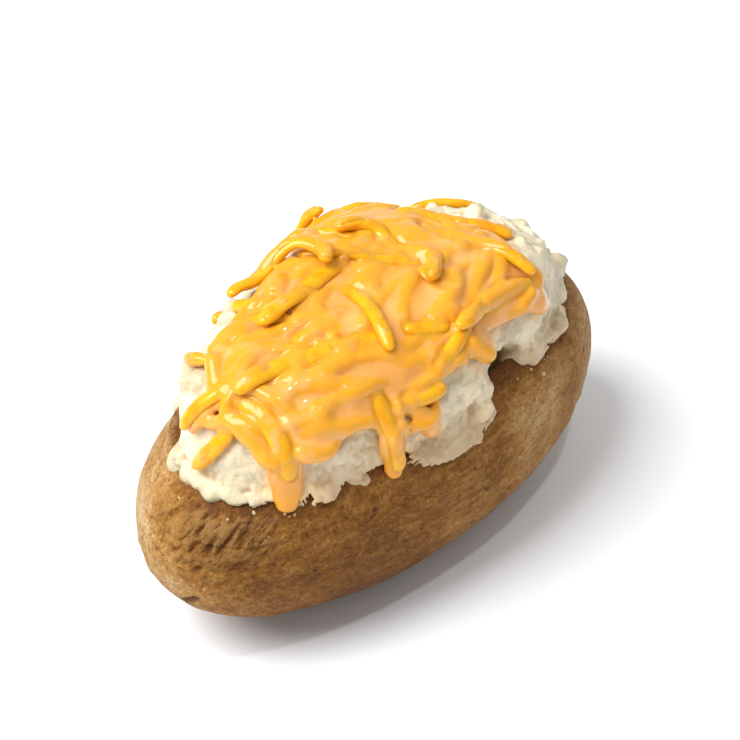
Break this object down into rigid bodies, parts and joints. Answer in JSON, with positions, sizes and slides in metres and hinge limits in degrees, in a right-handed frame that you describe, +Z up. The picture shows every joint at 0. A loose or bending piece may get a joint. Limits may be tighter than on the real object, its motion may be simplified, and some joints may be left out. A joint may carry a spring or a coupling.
{
  "type": "baked potato",
  "caption": "Large russet potato baked in its jacket and split open, its fluffy flesh heaped up under melted cheese sauce and half-melted cheese shreds.",
  "frame": {"origin": "under the middle of the potato, on the surface that it rests on", "axes": "+X along the potato, +Z up, -Y to the side where the sauce runs down"},
  "size_m": [0.133, 0.0684, 0.0818],
  "materials": {
    "skin": "matte, netted, lightly oiled",
    "flesh": "moist, crumbly",
    "sauce": "glossy, smooth",
    "shreds": "glossy, half melted"
  },
  "bodies": {
    "root": {"potato_jacket": "skin", "potato_flesh": "flesh", "cheese_sauce": "sauce", "cheese_shred_01": "shreds", "cheese_shred_02": "shreds", "cheese_shred_03": "shreds", "cheese_shred_04": "shreds", "cheese_shred_05": "shreds", "cheese_shred_06": "shreds", "cheese_shred_07": "shreds", "cheese_shred_08": "shreds", "cheese_shred_09": "shreds", "cheese_shred_10": "shreds", "cheese_shred_11": "shreds", "cheese_shred_12": "shreds", "cheese_shred_13": "shreds", "cheese_shred_14": "shreds", "cheese_shred_15": "shreds", "cheese_shred_16": "shreds", "cheese_shred_17": "shreds", "cheese_shred_18": "shreds", "cheese_shred_19": "shreds", "cheese_shred_20": "shreds", "cheese_shred_21": "shreds", "cheese_shred_22": "shreds", "cheese_shred_23": "shreds", "cheese_shred_24": "shreds", "cheese_shred_25": "shreds", "cheese_shred_26": "shreds"}
  },
  "joints": []
}
